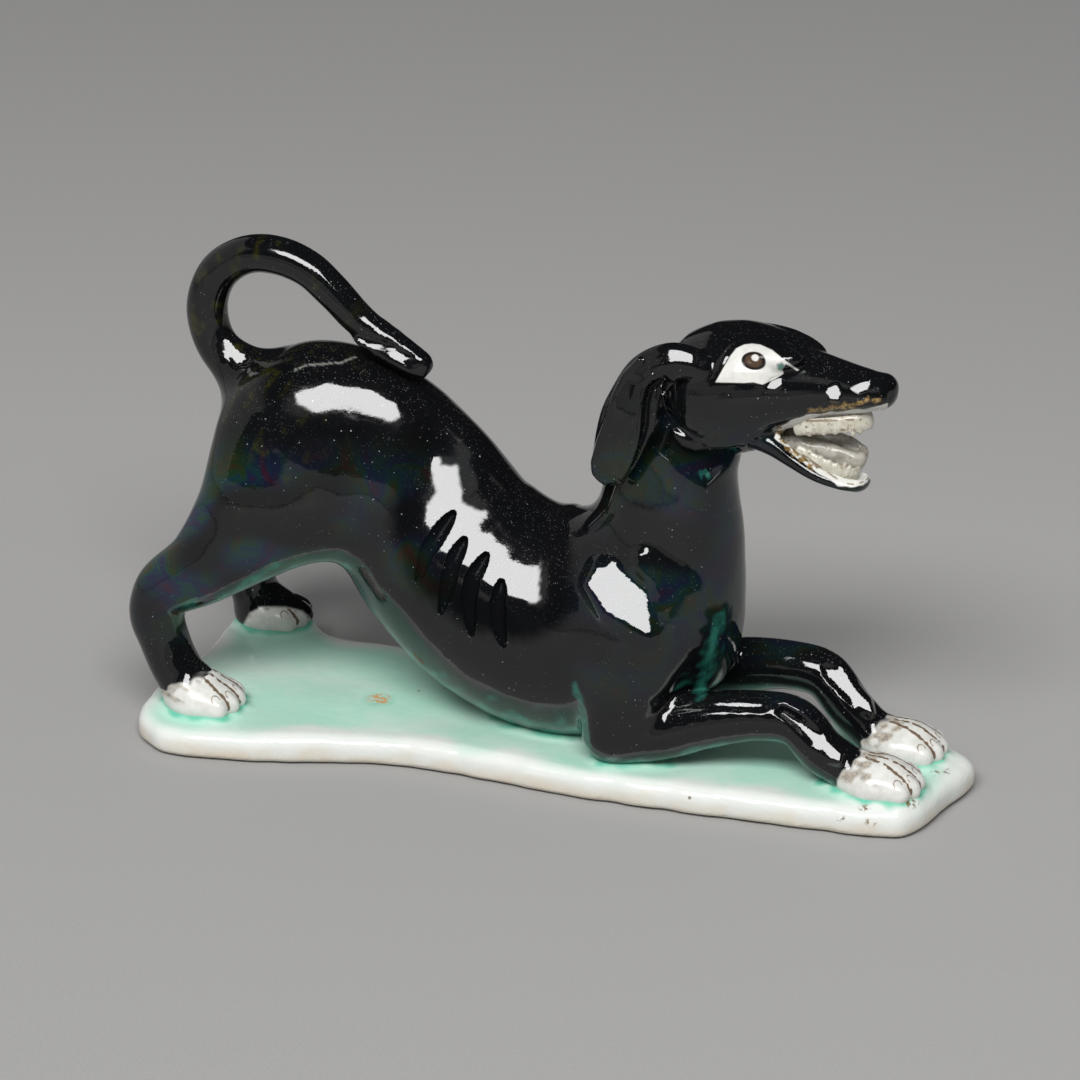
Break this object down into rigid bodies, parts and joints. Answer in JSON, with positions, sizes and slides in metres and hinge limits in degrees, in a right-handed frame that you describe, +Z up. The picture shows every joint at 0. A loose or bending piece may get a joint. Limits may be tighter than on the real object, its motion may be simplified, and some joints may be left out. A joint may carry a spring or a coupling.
{
  "type": "dog figurine",
  "caption": "Glazed porcelain hound in a play bow on a hand-cut slab, chest down, rump raised, mouth open and tail looped onto its back; a free-standing shelf ornament.",
  "frame": {"origin": "on the underside of the slab, half-way along it, on the hound's median plane", "axes": "+X along the slab towards the nose, +Y to the hound's left, +Z up"},
  "size_m": [0.1251, 0.0468, 0.0745],
  "materials": {
    "black_glaze": "gloss",
    "green_glaze": "gloss",
    "white_glaze": "gloss",
    "mouth_glaze": "satin"
  },
  "bodies": {
    "root": {"slab": "green_glaze", "right_body_shell": "black_glaze", "left_body_shell": "black_glaze", "neck": "black_glaze", "tail": "black_glaze", "head": "black_glaze", "lower_jaw": "black_glaze", "upper_teeth": "mouth_glaze", "lower_teeth": "mouth_glaze", "tongue": "mouth_glaze", "right_eye": "white_glaze", "left_eye": "white_glaze", "right_ear": "black_glaze", "left_ear": "black_glaze", "right_hind_leg": "black_glaze", "left_hind_leg": "black_glaze", "right_hind_paw": "white_glaze", "left_hind_paw": "white_glaze", "right_foreleg": "black_glaze", "left_foreleg": "black_glaze", "right_fore_paw": "white_glaze", "left_fore_paw": "white_glaze"}
  },
  "joints": []
}
